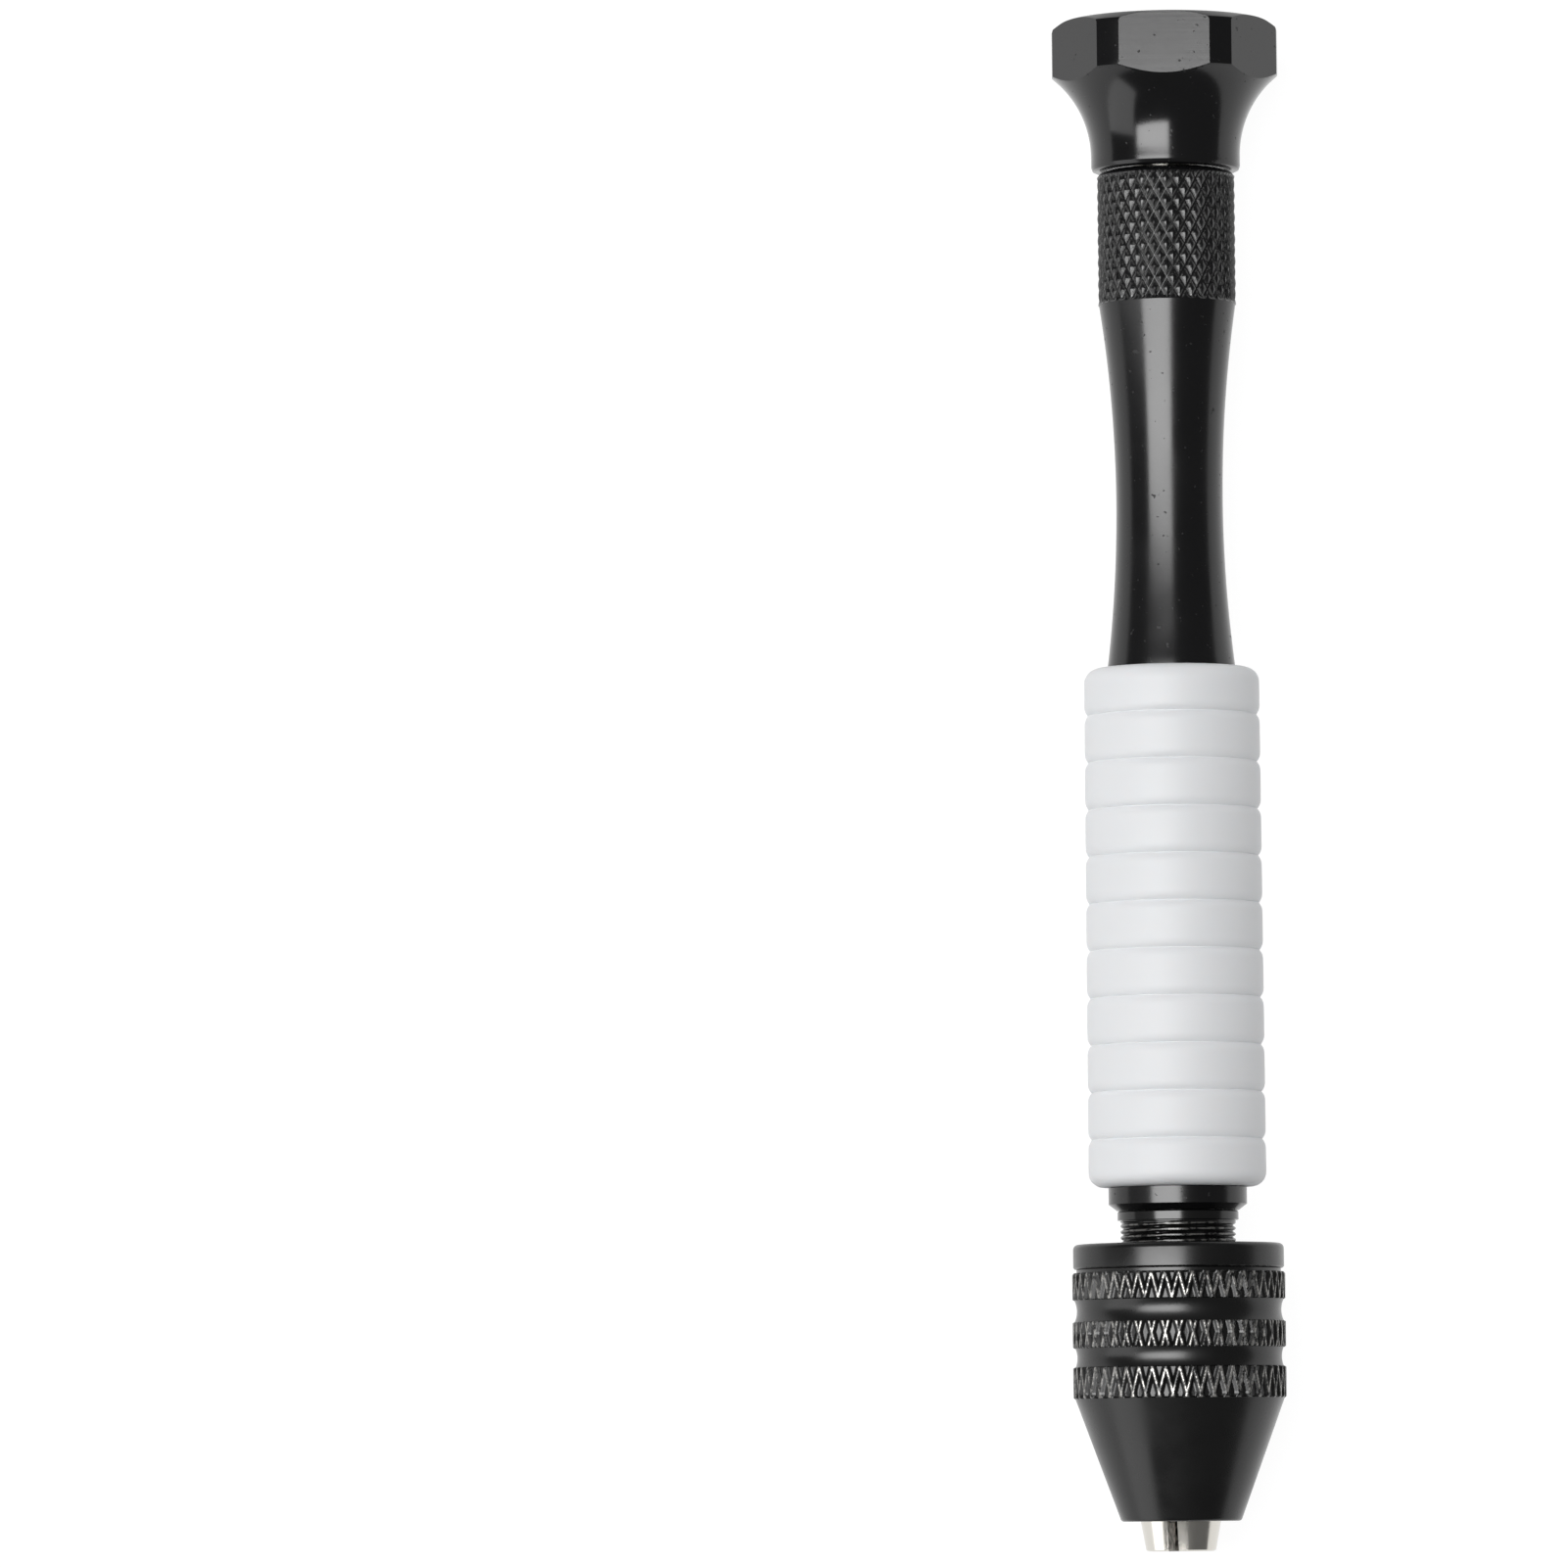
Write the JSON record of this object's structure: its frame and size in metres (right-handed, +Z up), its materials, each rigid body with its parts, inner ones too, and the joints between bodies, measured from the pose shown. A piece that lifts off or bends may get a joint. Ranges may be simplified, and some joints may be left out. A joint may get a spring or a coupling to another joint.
{
  "type": "pin vise drill",
  "caption": "Hand pin vise drill with a swivelling hexagonal palm cap, waisted handle, ribbed grip and knurled keyless three-jaw chuck.",
  "frame": {"origin": "bottom centre of the tool as it lies on a table: halfway between the cap's end and the jaw tips, under the tool's axis, at the lowest line of the chuck sleeve", "axes": "+Y along the tool's axis towards the palm cap, -Y towards the jaws, +Z up, +X across the tool"},
  "size_m": [0.0196, 0.133, 0.0184],
  "materials": {
    "black_anodised": "satin black anodised",
    "blackened_steel": "satin black oxide",
    "bright_steel": "turned, bright",
    "polished_steel": "ground and polished",
    "white_silicone": "matte white",
    "brass": "turned"
  },
  "bodies": {
    "handle": {"handle_body": "black_anodised", "grip_sleeve": "white_silicone", "chuck_core": "blackened_steel", "axle_screw": "bright_steel", "thrust_washer": "brass", "spacer_washer": "bright_steel", "bearing_inner_ring": "polished_steel"},
    "cap": {"swivel_cap": "black_anodised", "cap_end_disc": "black_anodised", "bearing_outer_ring": "polished_steel", "bearing_front_shield": "bright_steel", "bearing_rear_shield": "bright_steel"},
    "bearing_balls": {"ball_cage": "brass", "bearing_ball_1": "polished_steel", "bearing_ball_2": "polished_steel", "bearing_ball_3": "polished_steel", "bearing_ball_4": "polished_steel", "bearing_ball_5": "polished_steel", "bearing_ball_6": "polished_steel", "bearing_ball_7": "polished_steel"},
    "bush": {"threaded_bush": "blackened_steel"},
    "sleeve": {"chuck_sleeve": "blackened_steel"},
    "jaw_1": {"jaw_1": "polished_steel", "jaw_spring_1": "bright_steel"},
    "jaw_2": {"jaw_2": "polished_steel", "jaw_spring_2": "bright_steel"},
    "jaw_3": {"jaw_3": "polished_steel", "jaw_spring_3": "bright_steel"}
  },
  "joints": [
    {"name": "cap_swivel", "type": "hinge", "parent": "handle", "child": "cap", "pos_m": [0, 0.0587, 0.00922], "axis": [0, 1, 0], "continuous": true},
    {"name": "cage_spin", "type": "hinge", "parent": "handle", "child": "bearing_balls", "pos_m": [0, 0.0567, 0.00922], "axis": [0, 1, 0], "continuous": true},
    {"name": "sleeve_travel", "type": "slide", "parent": "handle", "child": "bush", "axis": [0, -1, 0], "range_m": [-0.00186, 0.00496]},
    {"name": "sleeve_turn", "type": "hinge", "parent": "bush", "child": "sleeve", "pos_m": [0, -0.0525, 0.00922], "axis": [0, -1, 0], "range_deg": [-1345, 3577]},
    {"name": "jaw_1_slide", "type": "slide", "parent": "handle", "child": "jaw_1", "axis": [-0.9613, 0, 0.2756], "range_m": [-0.00046, 0.00124], "deforming": ["jaw_spring_1"]},
    {"name": "jaw_2_slide", "type": "slide", "parent": "handle", "child": "jaw_2", "axis": [0.7193, 0, 0.6947], "range_m": [-0.00046, 0.00124], "deforming": ["jaw_spring_2"]},
    {"name": "jaw_3_slide", "type": "slide", "parent": "handle", "child": "jaw_3", "axis": [0.2419, 0, -0.9703], "range_m": [-0.00046, 0.00124], "deforming": ["jaw_spring_3"]}
  ],
  "couplings": [
    {"joint": "cage_spin", "follows": "cap_swivel", "ratio": 0.6286},
    {"joint": "sleeve_turn", "follows": "sleeve_travel", "rad_per_m": 12566},
    {"joint": "jaw_1_slide", "follows": "sleeve_travel", "ratio": 0.24933},
    {"joint": "jaw_2_slide", "follows": "sleeve_travel", "ratio": 0.24933},
    {"joint": "jaw_3_slide", "follows": "sleeve_travel", "ratio": 0.24933}
  ]
}
